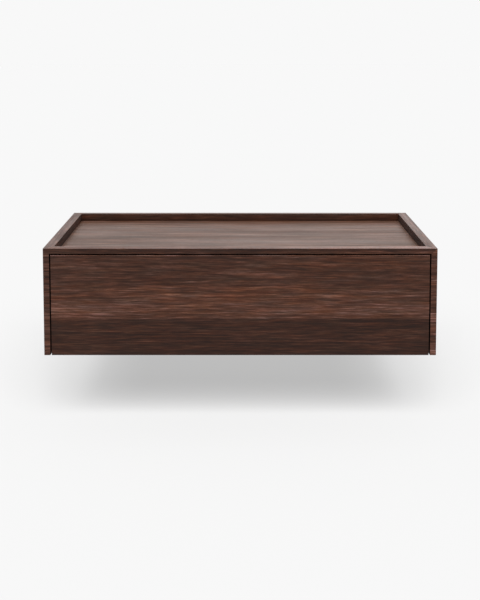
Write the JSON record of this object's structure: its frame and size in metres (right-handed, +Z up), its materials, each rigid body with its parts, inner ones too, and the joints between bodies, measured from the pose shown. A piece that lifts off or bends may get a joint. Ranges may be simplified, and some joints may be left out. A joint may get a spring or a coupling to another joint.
{
  "type": "floating nightstand",
  "caption": "Wall-hung walnut nightstand: a shallow tray top over a handle-less push-to-open drawer on full-extension slides, hung on a bevelled cleat.",
  "frame": {"origin": "middle of the wall cleat's back face, on the wall", "axes": "+X to the right seen from the front, the drawer front faces -Y and +Y goes into the wall, +Z up"},
  "size_m": [0.61, 0.406, 0.168],
  "materials": {
    "walnut": "dark walnut veneer under a satin clear coat",
    "birch": "pale birch plywood, sanded and clear sealed",
    "zinc_steel": "zinc-plated sheet steel",
    "bright_steel": "bright bare steel",
    "screw_steel": "zinc-plated screws",
    "grey_plastic": "moulded grey plastic, fine texture",
    "black_plastic": "black plastic over a magnet"
  },
  "bodies": {
    "carcass": {"left_side_panel": "walnut", "right_side_panel": "walnut", "front_rail": "walnut", "back_rail": "walnut", "tray_panel": "walnut", "bottom_panel": "walnut", "back_panel": "walnut", "carcass_cleat": "birch", "wall_cleat": "birch", "cleat_screw_1": "screw_steel", "cleat_screw_2": "screw_steel", "cleat_screw_3": "screw_steel", "cleat_screw_4": "screw_steel", "left_slide_outer": "zinc_steel", "right_slide_outer": "zinc_steel", "left_outer_screw_1": "screw_steel", "left_outer_screw_2": "screw_steel", "left_outer_screw_3": "screw_steel", "right_outer_screw_1": "screw_steel", "right_outer_screw_2": "screw_steel", "right_outer_screw_3": "screw_steel", "latch_housing": "grey_plastic", "latch_spring": "bright_steel", "latch_screw_left": "screw_steel", "latch_screw_right": "screw_steel"},
    "drawer": {"drawer_front": "walnut", "drawer_box_front": "birch", "drawer_box_back": "birch", "drawer_side_left": "birch", "drawer_side_right": "birch", "drawer_bottom": "birch", "front_screw_1": "screw_steel", "front_screw_2": "screw_steel", "front_screw_3": "screw_steel", "front_screw_4": "screw_steel", "striker_plate": "bright_steel", "striker_screw_left": "screw_steel", "striker_screw_right": "screw_steel", "left_slide_inner": "zinc_steel", "right_slide_inner": "zinc_steel", "left_inner_screw_1": "screw_steel", "left_inner_screw_2": "screw_steel", "right_inner_screw_1": "screw_steel", "right_inner_screw_2": "screw_steel"},
    "left_middle": {"left_slide_middle": "zinc_steel"},
    "right_middle": {"right_slide_middle": "zinc_steel"},
    "left_outer_balls": {"left_slide_outer_cage": "bright_steel"},
    "right_outer_balls": {"right_slide_outer_cage": "bright_steel"},
    "left_inner_balls": {"left_slide_inner_cage": "bright_steel"},
    "right_inner_balls": {"right_slide_inner_cage": "bright_steel"},
    "plunger": {"latch_plunger": "grey_plastic", "latch_tip": "black_plastic"}
  },
  "joints": [
    {"name": "drawer_slide", "type": "slide", "parent": "carcass", "child": "drawer", "axis": [0, -1, 0], "range_m": [0, 0.3]},
    {"name": "left_middle_slide", "type": "slide", "parent": "carcass", "child": "left_middle", "axis": [0, -1, 0], "range_m": [0, 0.15]},
    {"name": "right_middle_slide", "type": "slide", "parent": "carcass", "child": "right_middle", "axis": [0, -1, 0], "range_m": [0, 0.15]},
    {"name": "left_outer_roll", "type": "slide", "parent": "carcass", "child": "left_outer_balls", "axis": [0, -1, 0], "range_m": [0, 0.075]},
    {"name": "right_outer_roll", "type": "slide", "parent": "carcass", "child": "right_outer_balls", "axis": [0, -1, 0], "range_m": [0, 0.075]},
    {"name": "left_inner_roll", "type": "slide", "parent": "left_middle", "child": "left_inner_balls", "axis": [0, -1, 0], "range_m": [0, 0.075]},
    {"name": "right_inner_roll", "type": "slide", "parent": "right_middle", "child": "right_inner_balls", "axis": [0, -1, 0], "range_m": [0, 0.075]},
    {"name": "latch_slide", "type": "slide", "parent": "carcass", "child": "plunger", "axis": [0, -1, 0], "range_m": [0, 0.014]}
  ],
  "couplings": [
    {"joint": "left_middle_slide", "follows": "drawer_slide", "ratio": 0.5},
    {"joint": "right_middle_slide", "follows": "drawer_slide", "ratio": 0.5},
    {"joint": "left_outer_roll", "follows": "drawer_slide", "ratio": 0.25},
    {"joint": "right_outer_roll", "follows": "drawer_slide", "ratio": 0.25},
    {"joint": "left_inner_roll", "follows": "drawer_slide", "ratio": 0.25},
    {"joint": "right_inner_roll", "follows": "drawer_slide", "ratio": 0.25},
    {"joint": "latch_slide", "follows": "drawer_slide", "ratio": 0.0466}
  ]
}
